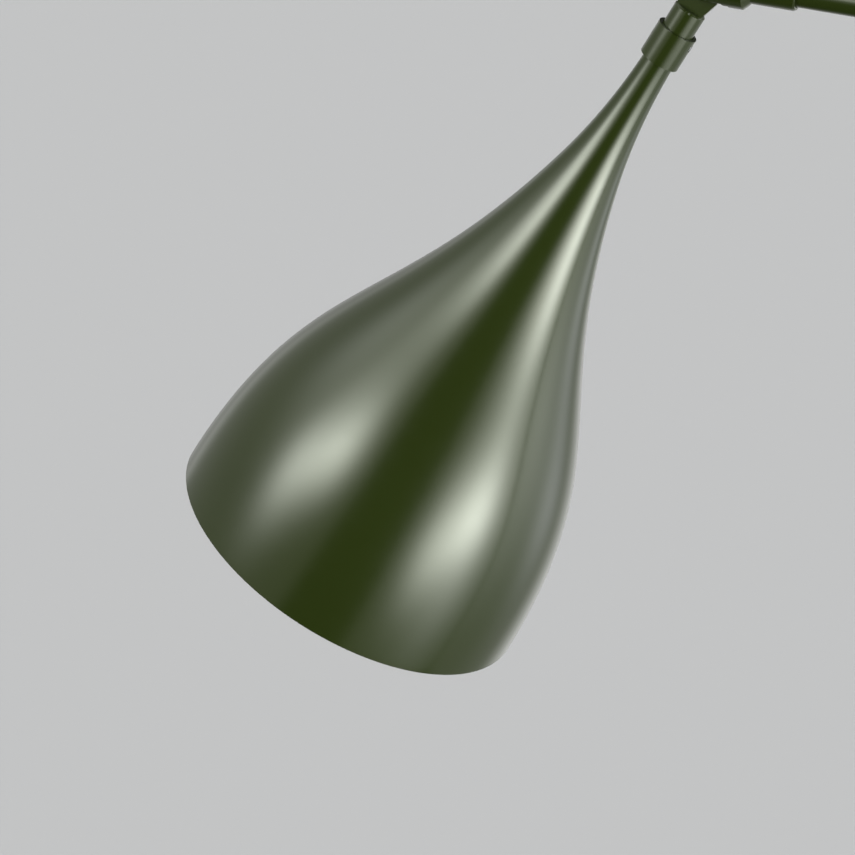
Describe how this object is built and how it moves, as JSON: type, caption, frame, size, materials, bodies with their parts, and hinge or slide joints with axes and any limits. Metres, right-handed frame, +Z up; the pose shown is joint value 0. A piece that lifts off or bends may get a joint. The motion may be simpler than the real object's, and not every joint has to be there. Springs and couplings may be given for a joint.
{
  "type": "adjustable arm floor lamp",
  "caption": "Floor lamp with a weighted round base, thin stem, swivelling and tilting arm, and a long-necked bell shade that tilts at the arm's end.",
  "frame": {"origin": "centre of the base's underside, on the floor", "axes": "+Z up along the stem; the arm reaches towards -X at rest, its tilt axes lie along Y, and the cord gland is on the +X side"},
  "size_m": [0.7998, 0.26, 1.4247],
  "materials": {
    "olive_paint": "satin olive green paint on spun or drawn steel, fine orange peel",
    "black_plastic": "black moulded plastic",
    "white_plastic": "natural white nylon",
    "zinc_steel": "zinc-plated turned steel",
    "brass": "bright turned brass",
    "iron": "rough cast iron",
    "rubber": "matt black rubber",
    "opal_glass": "opal white glass",
    "lead_sheath": "pale grey sheathed lead"
  },
  "bodies": {
    "stand": {"base_pad": "rubber", "base_weight": "iron", "base_cover": "olive_paint", "base_nipple": "zinc_steel", "base_washer": "zinc_steel", "base_nut": "zinc_steel", "cord_gland": "rubber", "foot_switch_bezel": "zinc_steel", "foot_switch_body": "black_plastic", "foot_switch_spring": "zinc_steel", "stem_collar": "olive_paint", "stem_foot_plug": "zinc_steel", "lower_stem": "olive_paint", "stem_spigot": "zinc_steel", "upper_stem": "olive_paint", "stem_wire": "lead_sheath", "pivot_post": "zinc_steel"},
    "foot_button": {"foot_button": "black_plastic"},
    "swivel": {"swivel_bush": "white_plastic", "swivel_fork": "olive_paint", "swivel_grub_screw": "zinc_steel", "arm_bolt": "zinc_steel", "arm_washer_front": "black_plastic", "arm_washer_back": "black_plastic"},
    "arm_knob": {"arm_knob": "black_plastic"},
    "arm": {"arm_knuckle": "olive_paint", "arm_knuckle_screw": "zinc_steel", "arm_tube": "olive_paint", "arm_wire": "lead_sheath", "elbow_fork": "olive_paint", "elbow_fork_screw": "zinc_steel", "elbow_bolt": "zinc_steel", "elbow_nut": "zinc_steel", "elbow_washer_front": "black_plastic", "elbow_washer_back": "black_plastic"},
    "shade_head": {"neck_knuckle": "olive_paint", "neck_ferrule": "olive_paint", "neck_screw": "zinc_steel", "neck_spacer": "brass", "shade": "olive_paint", "carrier_tube": "zinc_steel", "lampholder_nut": "zinc_steel", "lampholder_cap": "black_plastic", "lampholder_body": "black_plastic", "lampholder_thread": "brass", "lampholder_contact": "brass", "bulb_cap": "zinc_steel", "bulb_glass": "opal_glass", "neck_wire": "lead_sheath"}
  },
  "joints": [
    {"name": "foot_button_press", "type": "slide", "parent": "stand", "child": "foot_button", "axis": [0, 0, -1], "range_m": [0, 0.003], "stiffness_N_per_m": 500, "springref_m": -0.002, "deforming": ["foot_switch_spring"]},
    {"name": "arm_swivel", "type": "hinge", "parent": "stand", "child": "swivel", "pos_m": [0, 0, 1.371], "axis": [0, 0, 1], "range_deg": [-165, 165]},
    {"name": "arm_knob_turn", "type": "hinge", "parent": "swivel", "child": "arm_knob", "pos_m": [0, 0, 1.371], "axis": [0, 1, 0], "range_deg": [0, 270]},
    {"name": "arm_tilt", "type": "hinge", "parent": "swivel", "child": "arm", "pos_m": [0, 0, 1.371], "axis": [0, 1, 0], "range_deg": [-16, 74]},
    {"name": "shade_tilt", "type": "hinge", "parent": "arm", "child": "shade_head", "pos_m": [-0.4177, 0, 1.4149], "axis": [0, 1, 0], "range_deg": [-38, 60]}
  ]
}
